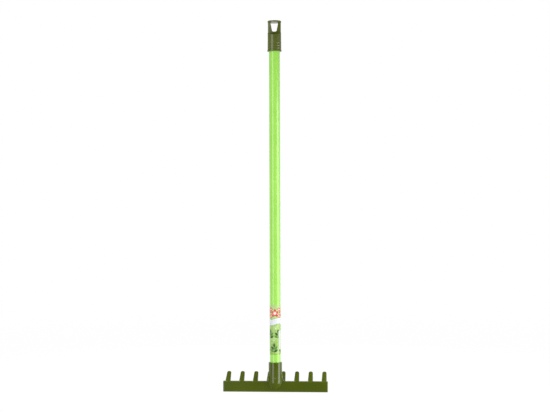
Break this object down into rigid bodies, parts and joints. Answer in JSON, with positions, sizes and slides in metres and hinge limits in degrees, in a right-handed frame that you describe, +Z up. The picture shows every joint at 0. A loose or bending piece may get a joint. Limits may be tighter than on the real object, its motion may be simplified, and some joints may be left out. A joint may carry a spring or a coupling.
{
  "type": "kids garden rake",
  "caption": "Child-size garden rake: moulded plastic head with upswept blunt tines and a socket, on a coated steel tube handle with a ribbed hanging cap and a wrap-round label.",
  "frame": {"origin": "middle of the flat top of the hanging hole, on the handle's axis, where the rake rests on a hook", "axes": "+Z up along the handle from the head to the cap, X along the bar of the head, +Y the way the tines point"},
  "size_m": [0.2122, 0.0592, 0.7502],
  "materials": {
    "head_plastic": "dark olive moulded plastic, satin gloss",
    "tube_coat": "lime green gloss coat on a thin steel tube",
    "plug_plastic": "black moulded plastic, hidden in the tube",
    "pin_steel": "dull zinc-plated steel",
    "cap_plastic": "dark olive moulded plastic, satin",
    "label_film": "thin printed film with a plain plant design"
  },
  "bodies": {
    "root": {"rake_head": "head_plastic", "handle_tube": "tube_coat", "tube_plug": "plug_plastic", "fixing_pin": "pin_steel", "hang_cap": "cap_plastic", "label": "label_film"}
  },
  "joints": []
}
